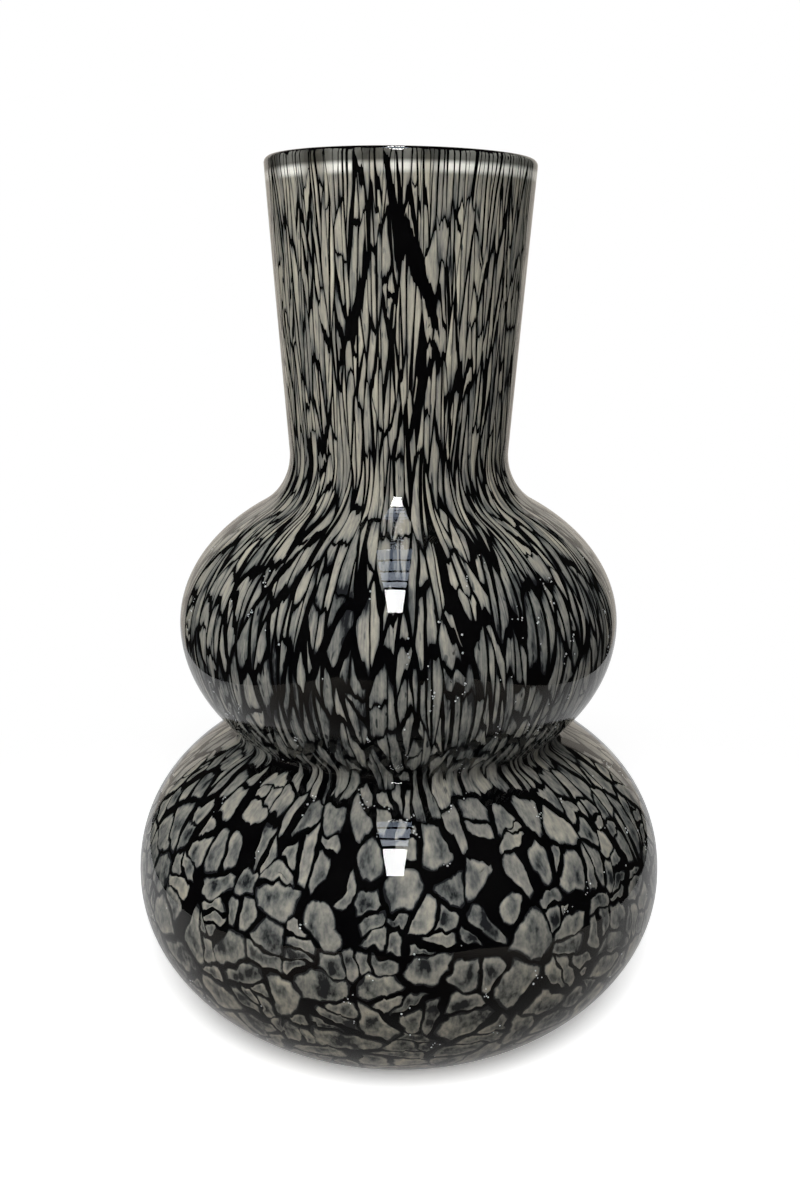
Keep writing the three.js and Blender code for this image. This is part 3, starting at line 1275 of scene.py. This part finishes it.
    @staticmethod
    def holds(edge: list[Points], place: Points) -> bool:
        """Tell whether a place is inside a convex edge."""
        p = np.array(edge)
        q = np.roll(p, -1, axis=0)
        side = (q[:, 0] - p[:, 0]) * (place[1] - p[:, 1]) - (q[:, 1] - p[:, 1]) * (place[0] - p[:, 0])
        return bool(np.all(side >= 0) or np.all(side <= 0))

    @staticmethod
    def cut(edge: list[Points], normal: Points, reach: float) -> list[Points]:
        """Cut a convex edge by a straight crack.

        Args:
            edge: corners in order.
            normal: direction out of the kept side.
            reach: distance of the crack from the flake's middle.

        Returns:
            The corners that are left.
        """
        out: list[Points] = []
        for a, b in zip(edge, edge[1:] + edge[:1]):
            da, db = float(np.dot(a, normal)) - reach, float(np.dot(b, normal)) - reach
            if da <= 0:
                out.append(a)
            if da * db < 0:
                out.append(a + (b - a) * (da / (da - db)))
        return out

    @staticmethod
    def soften(edge: Points, share: float, step: float) -> Points:
        """Round the corners a little and add points along the sides.

        Args:
            edge: corners in order.
            share: how much of each side the rounding takes.
            step: longest side that is left.

        Returns:
            The finer edge.
        """
        after = np.roll(edge, -1, axis=0)
        cornered = np.stack([edge + share * (after - edge), after - share * (after - edge)], axis=1)
        cornered = cornered.reshape(-1, 2)
        out = []
        for a, b in zip(cornered, np.roll(cornered, -1, axis=0)):
            count = max(1, int(math.ceil(float(np.linalg.norm(b - a)) / step)))
            out += [a + (b - a) * (k / count) for k in range(count)]
        return np.array(out)

    def warp(self, flake: Flake, local: Points) -> tuple[Points, Points]:
        """Wander a flake's points as the skin flowed, the same on both sides of a crack.

        Args:
            flake: the flake.
            local: points round its middle, in flake widths.

        Returns:
            Angles and rows.
        """
        row = np.clip(flake.row + local[:, 1], self.rows[0], self.rows[-1])
        rate = np.interp(row, self.rows, self.per_turn)
        angle = flake.angle + local[:, 0] / rate
        run = np.interp(row, self.rows, self.runs)
        jag = self.along(run, "jag") / self.along(run, "height")
        flow = self.flow
        rough = graded(flow.rough, self.platy(run))
        from_ends = np.minimum(self.rows[-1] - row, row - self.rows[0])
        inside = np.clip(from_ends / flow.still_ends, 0, 1)
        dx, dy = np.zeros(len(local)), np.zeros(len(local))
        for i, (t, y) in enumerate(zip(angle, row)):
            at = Vector((math.cos(t) * self.spread, math.sin(t) * self.spread, y))
            slow = noise.noise_vector(at * flow.slow_rate)
            quick = noise.noise_vector(at * flow.quick_rate + Vector(flow.quick_from))
            quick += flow.fine_share * noise.noise_vector(at * flow.fine_rate + Vector(flow.fine_from))
            fringe, frayed = (noise.noise(Vector((at.x * across, at.y * across, y * up)))
                              for across, up in (flow.fringe_rates, flow.frayed_rates))
            fringe += flow.frayed_share * frayed
            dx[i] = flow.slow[0] * slow.x + rough[i] * quick.x
            dy[i] = flow.slow[1] * slow.y + rough[i] * quick.y + jag[i] * fringe
        return angle + dx / rate, np.clip(row + dy * inside, self.rows[0], self.rows[-1])

    def flake_mesh(self, flake: Flake) -> tuple[Points, list[tuple[int, ...]], dict[str, Points]]:
        """Model one flake as a low cushion that thins to its edge.

        Args:
            flake: the flake.

        Returns:
            Points in metres, faces, and what each point carries by the attribute's name: its thinness and
            tone, how far it is a plate's, a sliver's and close to a tip, and its place on the gather.
        """
        middle = flake.edge.mean(axis=0)
        size, lift, sliver, plate, narrower = (
            np.array([getattr(ring, name) for ring in CUSHION])
            for name in ("size", "lift", "sliver", "plate", "narrower"))
        is_plate = float(self.platy(np.interp(flake.row, self.rows, self.runs)))
        size = size - narrower * is_plate
        count = len(flake.edge)
        local = np.vstack([middle + s * (flake.edge - middle) for s in size] + [middle[None]])
        lift = np.append(np.repeat(lift, count), 1.0)
        angle, row = self.warp(flake, local)
        run = np.interp(row, self.rows, self.runs)
        platy = self.platy(run)
        thin = np.append(np.repeat(sliver, count), 0.0) * (1 - platy)
        thin = thin + np.append(np.repeat(plate, count), self.middle_thin) * platy
        tallest = max(float(np.abs(flake.edge[:, 1] - middle[1]).max()), 1e-6)
        high = (local[:, 1] - middle[1]) / tallest
        to_end = np.clip((np.abs(high) - self.ends_from) / (1 - self.ends_from), 0, 1)
        ends = np.where(high > 0, flake.upper, flake.lower) * to_end
        r, z = self.trace.sink(run, self.under(run) - self.sunk_mm - self.thick_mm * lift)
        points = np.stack([r * np.cos(angle), r * np.sin(angle), z], axis=-1)
        faces: list[tuple[int, ...]] = []
        for ring in range(len(CUSHION) - 1):
            a, b = ring * count, (ring + 1) * count
            faces += [(a + k, a + (k + 1) % count, b + (k + 1) % count, b + k) for k in range(count)]
        last, top = (len(CUSHION) - 1) * count, len(CUSHION) * count
        faces += [(last + k, last + (k + 1) % count, top) for k in range(count)]
        return self.outline.by_hand(points), faces, {
            "thin": thin * self.along(run, "fade") + ends * self.along(run, "taper"),
            "tone": self.along(run, "tone") + flake.shade,
            Where.PLATES.value: np.full(len(points), is_plate),
            Where.SLIVERS.value: np.full(len(points), 1 - is_plate),
            Where.TIPS.value: ends * (1 - platy),
            "gather": np.stack([np.cos(angle) * self.spread, np.sin(angle) * self.spread, row], axis=-1),
        }

    def level(self, flake: Flake) -> float:
        """Level of a flake's plate on the vase."""
        run = np.interp(flake.row, self.rows, self.runs)
        return float(np.interp(run, self.trace.run, self.trace.z))

    def build(self) -> list[bpy.types.Object]:
        """Make the flakes of the neck, the upper bulb and the lower bulb as three pieces.

        Returns:
            The three pieces.
        """
        pieces = []
        for name, low, high in FLAKE_PIECES:
            verts, faces, carried = [], [], []
            start = 0
            for flake in self.flakes:
                if not low <= self.level(flake) < high:
                    continue
                points, sides, values = self.flake_mesh(flake)
                verts.append(points)
                faces += [tuple(start + k for k in side) for side in sides]
                carried.append(values)
                start += len(points)
            piece = new_piece(name, np.vstack(verts), faces)
            for label in carried[0]:
                values = np.concatenate([each[label] for each in carried]).astype(np.float32)
                kind, key = ("FLOAT", "value") if values.ndim == 1 else ("FLOAT_VECTOR", "vector")
                piece.data.attributes.new(label, kind, "POINT").data.foreach_set(key, values.ravel())
            LOG.info("%s: %d flakes", name, len(verts))
            pieces.append(piece)
        return pieces

    def dress(self, pieces: list[bpy.types.Object]) -> None:
        """Give the flakes their glass and hang them on the vase.

        Args:
            pieces: the flake pieces.
        """
        glass = PaleFlakeGlass(self.outline.rim_z).make()
        for piece in pieces:
            piece.data.materials.append(glass)
            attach(piece, "root")
            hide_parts(Layer.SKIN.value)


@dataclass
class ClearCasing:
    """The clear gather over the whole vase, with the lip and the ground foot."""

    outline: Outline
    trace: Trace
    segments: int = 224
    punt_steps: int = 14
    foot_steps: int = 6
    hidden_mm: float = 3.1
    floor_mm: float = 6.3
    inside_lip_mm: float = 6.0

    def build(self) -> bpy.types.Object:
        """Turn the casing as one closed body.

        Returns:
            The casing.
        """
        o = self.outline
        ring_in = o.foot_r - o.foot_width
        share = np.linspace(0, 1, self.punt_steps)
        punt = np.stack([ring_in * share, o.punt_depth * (1 - share ** 2)], axis=-1)
        foot_r = np.linspace(ring_in, o.foot_r, self.foot_steps)[1:-1]
        foot = np.stack([foot_r, np.zeros(len(foot_r))], axis=-1)
        side = np.stack([self.trace.r, self.trace.z], axis=-1)
        side[0, 1] = 0.0
        turn_in = np.linspace(math.pi / 2, math.pi, o.lip_steps)[1:]
        centre = np.array([o.mouth_r - o.lip_r, o.rim_z - o.lip_r])
        lip = centre + o.lip_r * np.stack([np.cos(turn_in), np.sin(turn_in)], axis=-1)
        inside_top = o.rim_z - o.lip_r - self.inside_lip_mm
        inside = self.trace.below_lip(self.hidden_mm, self.floor_mm, inside_top)[::-1]
        line = np.vstack([punt, foot, side, lip, inside, [[0.0, self.floor_mm]]])
        return turn("clear_casing_glass", line, o, self.segments)

    def dress(self, piece: bpy.types.Object) -> None:
        """Give the casing its glass and hang it on the vase.

        Args:
            piece: the casing.
        """
        piece.data.materials.append(ClearCasingGlass().make())
        piece.visible_shadow = False
        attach(piece, "root")
        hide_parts(Layer.CASING.value)


@dataclass
class BlackLiner:
    """The black inner vessel."""

    outline: Outline
    trace: Trace
    skin: CrackleSkin
    segments: int = 192
    under_mm: float = 5.6
    floor_mm: float = 5.5
    lip_cover_mm: float = 1.2
    inside_lip_mm: float = 5.0
    round_steps: int = 17
    inner_from: int = field(init=False, default=0)

    def build(self) -> bpy.types.Object:
        """Turn the liner, with its top rounded inside the lip.

        Returns:
            The liner.
        """
        o = self.outline
        runs = self.trace.run[self.trace.z < o.rim_z - o.lip_r]
        r, z = self.trace.sink(runs, self.skin.under(runs))
        keep = z > self.under_mm
        start = [[float(np.interp(self.under_mm, z, r)), self.under_mm]]
        outside = np.vstack([start, np.stack([r[keep], z[keep]], axis=-1)])
        round_r = o.lip_r - self.lip_cover_mm
        centre = np.array([o.mouth_r - o.lip_r, o.rim_z - o.lip_r])
        t = np.linspace(0, math.pi, self.round_steps)
        top = centre + round_r * np.stack([np.cos(t), np.sin(t)], axis=-1)
        floor = self.under_mm + self.floor_mm
        inside = self.trace.below_lip(o.wall, floor, o.rim_z - o.lip_r - self.inside_lip_mm)[::-1]
        self.inner_from = len(outside) + len(top)
        line = np.vstack([[[0.0, self.under_mm]], outside, top, inside, [[0.0, floor]]])
        return turn("black_liner_glass", line, o, self.segments)

    def dress(self, piece: bpy.types.Object) -> None:
        """Give the liner black glass, polished where it meets the air.

        Args:
            piece: the liner.
        """
        piece.data.materials.append(BlackGlass().make())
        piece.data.materials.append(BlackGlass(polished=True).make())
        inner = self.inner_from * self.segments
        for face in piece.data.polygons:
            inside = max(face.vertices) >= inner and min(face.vertices) >= inner - self.segments
            face.material_index = int(inside)
        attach(piece, "root")
        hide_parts(Layer.LINER.value)


@dataclass
class SeedBubbles:
    """Air seeds at the edges of the flakes on the two bulbs, in clusters, mostly small."""

    skin: CrackleSkin
    clusters: int = 330
    largest_cluster: int = 6
    scatter: float = 0.1
    seed: int = 21
    smallest_mm: float = 0.22
    largest_mm: float = 0.46
    above_black_mm: tuple[float, float] = (0.55, 1.3)
    below_mm: float = 205.0
    few: float = 2.0
    small: float = 2.5

    def build(self) -> bpy.types.Object:
        """Make all the seeds as one piece.

        Returns:
            The seeds.
        """
        rng = np.random.default_rng(self.seed)
        ball = bpy.data.meshes.new("seed_form")
        form = bmesh.new()
        bmesh.ops.create_icosphere(form, subdivisions=1, radius=1.0)
        form.to_mesh(ball)
        form.free()
        shape = np.array([v.co[:] for v in ball.vertices])
        sides = [tuple(p.vertices) for p in ball.polygons]
        bpy.data.meshes.remove(ball)
        trace, outline = self.skin.trace, self.skin.outline
        flakes = [f for f in self.skin.flakes if self.skin.level(f) < self.below_mm]
        verts, faces = [], []
        for _ in range(self.clusters):
            flake = flakes[int(rng.integers(len(flakes)))]
            spot = flake.edge[int(rng.integers(len(flake.edge)))]
            count = 1 + int(self.largest_cluster * rng.random() ** self.few)
            angle, row = self.skin.warp(flake, spot + rng.normal(0, self.scatter, (count, 2)))
            run = np.interp(row, self.skin.rows, self.skin.runs)
            r, z = trace.sink(run, self.skin.under(run) - rng.uniform(*self.above_black_mm, count))
            for centre in np.stack([r * np.cos(angle), r * np.sin(angle), z], axis=-1):
                more = (self.largest_mm - self.smallest_mm) * rng.random() ** self.small
                radius = self.smallest_mm + more
                faces += [tuple(len(verts) * len(shape) + n for n in side) for side in sides]
                verts.append(centre + radius * shape)
        return new_piece("seed_bubbles", outline.by_hand(np.vstack(verts)), faces)

    def dress(self, piece: bpy.types.Object) -> None:
        """Give the seeds their look and hang them on the vase.

        Args:
            piece: the seeds.
        """
        piece.data.materials.append(SeedBubbleGlass().make())
        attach(piece, "root")


@dataclass(frozen=True)
class LampPanel:
    """A lamp panel overhead, in degrees.

    Elevations of its two ends above the front horizon, and half its breadth at each end.
    """

    name: str
    low: float
    high: float
    low_side: float
    high_side: float
    strength: float
    colour: str
    centre: float = -1.4


@dataclass(frozen=True)
class SoftLamp:
    """A large soft lamp, by its place and size in metres, its power in watts and what it lights."""

    name: str
    place: tuple[float, float, float]
    size: float
    watts: float
    lights_ground: bool


SOFT_LAMPS = (
    SoftLamp("key_left", (-0.66, -0.94, 0.9), 0.8, 11.0, False),
    SoftLamp("ground_fill", (0.0, -0.97, 0.9), 0.5, 16.7, True),
    SoftLamp("fill_behind", (0.5, 1.05, 0.75), 0.8, 7.0, False),
)

LAMPS = (
    LampPanel("softbox_front", 45.5, 63.5, 3.1, 4.2, 24.0, "ffffff"),
    LampPanel("louvre_1", 65.5, 69.4, 4.4, 4.8, 7.5, "d3dbe8"),
    LampPanel("louvre_2", 70.6, 76.6, 4.9, 5.4, 6.0, "c6d0e2"),
    LampPanel("louvre_3", 77.9, 84.8, 5.4, 5.7, 4.4, "b6c4da"),
    LampPanel("louvre_4", 86.1, 93.5, 5.7, 5.9, 3.4, "a9b8d2"),
    LampPanel("rail_left", 92.0, 101.0, 0.7, 0.7, 5.0, "dfe6f0", -3.2),
    LampPanel("rail_right", 92.0, 101.0, 0.7, 0.7, 5.0, "dfe6f0", 0.6),
    LampPanel("lamp_back", 99.0, 110.0, 2.4, 2.6, 22.0, "ffffff", -0.6),
)


@dataclass
class Studio:
    """White sheet under and behind the vase, lamps, room and camera, with what each lamp lights.

    Lengths are in metres. Directions behind the vase, for the room, go from 0 at the side to 1.
    """

    lit: bpy.types.Collection
    grounds: bpy.types.Collection
    sheet_half: float = 0.34
    sheet_front: float = -0.62
    sheet_back: float = 0.9
    lamp_distance: float = 1.6
    lamp_centre: tuple[float, float, float] = (0.0, 0.0, 0.15)
    sheet_under: float = 0.0005
    ground_half: float = 5.0
    ground: float = 1.65
    shadow_reach: tuple[float, float] = (0.2, 0.42)
    sheet_shades: tuple[tuple[float, str], ...] = ((0.03, "241f1b"), (0.1, "4d4841"), (0.26, "8f8980"))
    sheet_bright: tuple[float, float] = (-0.2, 0.08)
    sheet_bounce: Rgba = (0.42, 0.41, 0.4, 1.0)
    lamp_aim: float = 0.2
    white: Rgba = (1.0, 1.0, 1.0, 1.0)
    room_tint: str = "fff6ea"
    beyond: float = 0.3
    beyond_edge: tuple[float, float] = (0.6, 0.92)
    dome: float = 0.24
    room: float = 0.015
    backdrop: float = 0.56
    backdrop_edge: tuple[float, float] = (0.798, 0.822)
    camera_back: float = 0.4854
    camera_height: float = 0.2946
    camera_side: float = 0.0003
    pitch: float = 0.243
    focal_px: float = 1262.8
    image_height: int = 1200
    sensor: float = 36.0

    def floor_material(self) -> bpy.types.Material:
        """White paper for a white ground: matt round the foot, where the shadow falls, and white beyond."""
        material, tree, out = blank_material("white_matt_paper_ground")
        matt = add_node(tree, "ShaderNodeBsdfDiffuse", values={"Color": (self.ground,) * 3 + (1,)})
        glow = add_node(tree, "ShaderNodeEmission", values={"Color": self.white, "Strength": 1.0})
        place = add_node(tree, "ShaderNodeTexCoord").outputs["Object"]
        away = add_node(tree, "ShaderNodeVectorMath", {"operation": "LENGTH"}, None,
                        {0: place}).outputs["Value"]
        low, high = self.shadow_reach
        share = add_node(tree, "ShaderNodeMapRange", {"interpolation_type": "SMOOTHSTEP"},
                         {"From Min": low, "From Max": high}, {"Value": away}).outputs["Result"]
        both = add_node(tree, "ShaderNodeMixShader", links={0: share, 1: matt.outputs[0], 2: glow.outputs[0]})
        tree.links.new(both.outputs[0], out.inputs["Surface"])
        return material

    def sheet_material(self) -> bpy.types.Material:
        """White paper as the glass mirrors it: dimmer in the middle, where the room shades it."""
        material, tree, out = blank_material("white_matt_paper_sheet")
        path = add_node(tree, "ShaderNodeLightPath")
        place = add_node(tree, "ShaderNodeTexCoord").outputs["Object"]
        across, depth = add_node(tree, "ShaderNodeSeparateXYZ", links={0: place}).outputs[:2]
        away = add_node(tree, "ShaderNodeMath", {"operation": "ABSOLUTE"}, None, {0: across}).outputs[0]
        shade = add_node(tree, "ShaderNodeValToRGB", links={"Fac": away}, stops=[
            (distance, linear(colour)) for distance, colour in self.sheet_shades
        ]).outputs["Color"]
        low, high = self.sheet_bright
        back = add_node(tree, "ShaderNodeMapRange", {"interpolation_type": "SMOOTHSTEP"},
                        {"From Min": low, "From Max": high}, {"Value": depth}).outputs["Result"]
        shade = add_node(tree, "ShaderNodeMix", {"data_type": "RGBA"}, {7: (self.backdrop,) * 3 + (1,)},
                         {0: back, 6: shade}).outputs[2]
        mirrored = add_node(tree, "ShaderNodeEmission", links={"Color": shade}).outputs[0]
        bounce = add_node(tree, "ShaderNodeBsdfDiffuse", values={"Color": self.sheet_bounce}).outputs[0]
        both = add_node(tree, "ShaderNodeMixShader",
                        links={0: path.outputs["Is Glossy Ray"], 1: bounce, 2: mirrored})
        tree.links.new(both.outputs[0], out.inputs["Surface"])
        return material

    def build_sheet(self) -> None:
        """Lay the ground that is looked at, and under it the sheet that the glass mirrors."""
        s, f, b = self.sheet_half, self.sheet_front, self.sheet_back
        g, low = self.ground_half, -self.sheet_under
        wide = np.array([[-g, -g, 0], [g, -g, 0], [g, g, 0], [-g, g, 0]])
        ground = new_piece("ground", wide, [(0, 1, 2, 3)], False)
        ground.visible_glossy = ground.visible_diffuse = ground.visible_shadow = False
        ground.data.materials.append(self.floor_material())
        self.grounds.objects.link(ground)
        floor = np.array([[-s, f, low], [s, f, low], [s, b, low], [-s, b, low]])
        sheet = new_piece("sheet_floor", floor, [(0, 1, 2, 3)], False)
        sheet.visible_camera = sheet.visible_transmission = False
        sheet.data.materials.append(self.sheet_material())
        self.lit.objects.link(sheet)

    def build_lamps(self) -> None:
        """Hang the lamp panels on an arc over the vase, and set the soft lamps."""
        middle = np.array(self.lamp_centre)
        for lamp in LAMPS:
            corners = []
            for up, side in ((lamp.low, -lamp.low_side), (lamp.low, lamp.low_side),
                             (lamp.high, lamp.high_side), (lamp.high, -lamp.high_side)):
                e = math.radians(up)
                x = self.lamp_distance * math.tan(math.radians(lamp.centre + side))
                reach = np.array([0.0, -math.cos(e), math.sin(e)]) * self.lamp_distance
                corners.append(middle + reach + np.array([x, 0, 0]))
            card = new_piece(lamp.name, np.array(corners), [(0, 1, 2, 3)], False)
            material, tree, out = blank_material(lamp.name + "_diffuser")
            glow = add_node(tree, "ShaderNodeEmission",
                            values={"Color": linear(lamp.colour), "Strength": lamp.strength})
            tree.links.new(glow.outputs[0], out.inputs["Surface"])
            card.data.materials.append(material)
            card.visible_camera = False
            card.light_linking.receiver_collection = self.lit
        for soft in SOFT_LAMPS:
            light = bpy.data.lights.new(soft.name, "AREA")
            light.size, light.energy = soft.size, soft.watts
            lamp = bpy.data.objects.new(soft.name, light)
            lamp.location = soft.place
            aim = Vector((0, 0, 0 if soft.lights_ground else self.lamp_aim)) - lamp.location
            lamp.rotation_euler = aim.to_track_quat("-Z", "Y").to_euler()
            lamp.visible_glossy = False
            lamp.light_linking.receiver_collection = self.grounds if soft.lights_ground else self.lit
            bpy.context.scene.collection.objects.link(lamp)

    def build_room(self) -> None:
        """Set the room: white to the eye, dim where the glass mirrors it, and an even dome for light."""
        world = bpy.data.worlds.new("dim_room")
        bpy.context.scene.world = world
        world.use_nodes = True
        tree = world.node_tree
        tree.nodes.clear()
        path = add_node(tree, "ShaderNodeLightPath")
        way = add_node(tree, "ShaderNodeTexCoord").outputs["Generated"]
        behind = add_node(tree, "ShaderNodeSeparateXYZ", links={0: way}).outputs["Y"]
        low, high = self.beyond_edge
        backdrop = add_node(tree, "ShaderNodeMapRange", {"interpolation_type": "SMOOTHSTEP"},
                            {"From Min": low, "From Max": high, "To Min": self.beyond}, {"Value": behind})
        low, high = self.backdrop_edge
        mirrored = add_node(tree, "ShaderNodeMapRange", {"interpolation_type": "SMOOTHSTEP"},
                            {"From Min": low, "From Max": high, "To Min": self.room, "To Max": self.backdrop},
                            {"Value": behind})
        lights = {
            name: add_node(tree, "ShaderNodeBackground", values={"Color": colour, "Strength": strength})
            for name, colour, strength in (
                ("dome", self.white, self.dome), ("dim", linear(self.room_tint), self.room),
                ("through", self.white, 1.0), ("white", self.white, 1.0))
        }
        tree.links.new(backdrop.outputs["Result"], lights["through"].inputs["Strength"])
        tree.links.new(mirrored.outputs["Result"], lights["dim"].inputs["Strength"])
        shader = lights["dome"].outputs[0]
        rays = {"dim": "Is Glossy Ray", "through": "Is Transmission Ray", "white": "Is Camera Ray"}
        for name, ray in rays.items():
            shader = add_node(tree, "ShaderNodeMixShader",
                              links={0: path.outputs[ray], 1: shader, 2: lights[name].outputs[0]}).outputs[0]
        out = add_node(tree, "ShaderNodeOutputWorld")
        tree.links.new(shader, out.inputs["Surface"])

    def build_camera(self) -> None:
        """Place the camera where the photograph was taken from."""
        data = bpy.data.cameras.new("photo_camera")
        data.sensor_width = self.sensor
        data.lens = self.sensor * self.focal_px / self.image_height
        camera = bpy.data.objects.new("photo_camera", data)
        camera.location = (self.camera_side, -self.camera_back, self.camera_height)
        camera.rotation_euler = (math.pi / 2 - self.pitch, 0, 0)
        bpy.context.scene.collection.objects.link(camera)
        bpy.context.scene.camera = camera

    def build(self) -> None:
        """Set up everything round the vase."""
        self.build_camera()
        self.build_sheet()
        self.build_lamps()
        self.build_room()
        bpy.context.scene.view_settings.view_transform = "Standard"


def main() -> None:
    """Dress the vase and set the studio."""
    outline = Outline()
    trace = outline.trace()
    lit = bpy.data.collections.new("lit_by_lamps")
    Studio(lit, bpy.data.collections.new("lit_by_ground_fill")).build()
    skin = CrackleSkin(outline, trace)
    flakes = skin.build()
    skin.dress(flakes)
    liner = BlackLiner(outline, trace, skin)
    vessel = liner.build()
    liner.dress(vessel)
    casing = ClearCasing(outline, trace)
    glass = casing.build()
    casing.dress(glass)
    bubbles = SeedBubbles(skin)
    seeds = bubbles.build()
    bubbles.dress(seeds)
    for piece in (*flakes, vessel, glass, seeds):
        lit.objects.link(piece)
        LOG.info("%s: %d faces", piece.name, len(piece.data.polygons))


if __name__ == "__main__":
    main()
